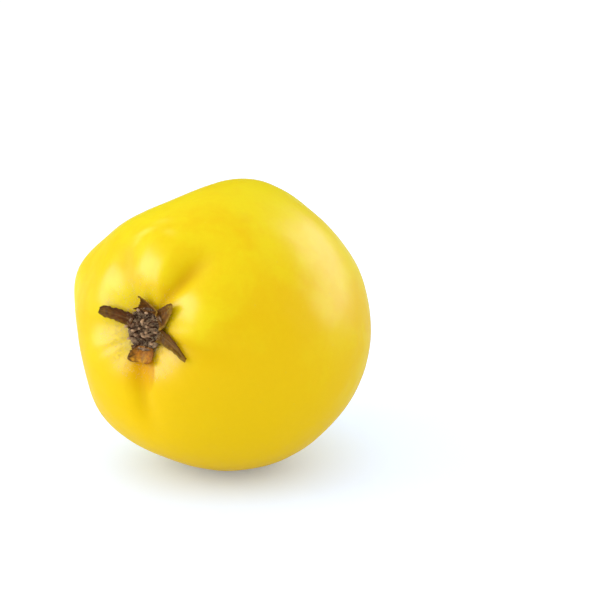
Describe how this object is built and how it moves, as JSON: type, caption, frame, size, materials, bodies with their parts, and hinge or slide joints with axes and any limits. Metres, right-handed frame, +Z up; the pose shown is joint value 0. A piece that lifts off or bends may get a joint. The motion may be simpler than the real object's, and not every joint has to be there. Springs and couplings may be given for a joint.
{
  "type": "quince",
  "caption": "Whole ripe quince lying on its side, with a short woody stalk and the dried sepals, stamens and styles of its flower end.",
  "frame": {"origin": "on the surface that the fruit rests on, under the middle of its bounding box", "axes": "+Z up; -Y the side that the dried flower end faces, +Y the stalk's side; +X to the right when looking at the flower end"},
  "size_m": [0.0874, 0.1006, 0.0864],
  "materials": {
    "quince_skin": "waxy lemon to golden yellow skin with a satin shine, deeper gold in the furrows and a little grey down at both ends",
    "dried_cup": "dull dark brown, dry and crumbly",
    "dried_sepals": "dry brittle leaf, dark brown with olive and golden brown parts",
    "dried_stamens": "dull grey-brown dry threads with paler heads",
    "dried_styles": "dull grey-brown with a pale woolly foot",
    "stalk_wood": "rough dark brown bark with a paler broken end"
  },
  "bodies": {
    "root": {"fruit_body": "quince_skin", "calyx_cup": "dried_cup", "stalk": "stalk_wood", "sepal_1": "dried_sepals", "sepal_2": "dried_sepals", "sepal_3": "dried_sepals", "sepal_4": "dried_sepals", "sepal_5": "dried_sepals", "stamen_01": "dried_stamens", "stamen_02": "dried_stamens", "stamen_03": "dried_stamens", "stamen_04": "dried_stamens", "stamen_05": "dried_stamens", "stamen_06": "dried_stamens", "stamen_07": "dried_stamens", "stamen_08": "dried_stamens", "stamen_09": "dried_stamens", "stamen_10": "dried_stamens", "stamen_11": "dried_stamens", "stamen_12": "dried_stamens", "stamen_13": "dried_stamens", "stamen_14": "dried_stamens", "stamen_15": "dried_stamens", "stamen_16": "dried_stamens", "stamen_17": "dried_stamens", "stamen_18": "dried_stamens", "stamen_19": "dried_stamens", "stamen_20": "dried_stamens", "style_1": "dried_styles", "style_2": "dried_styles", "style_3": "dried_styles", "style_4": "dried_styles", "style_5": "dried_styles"}
  },
  "joints": []
}
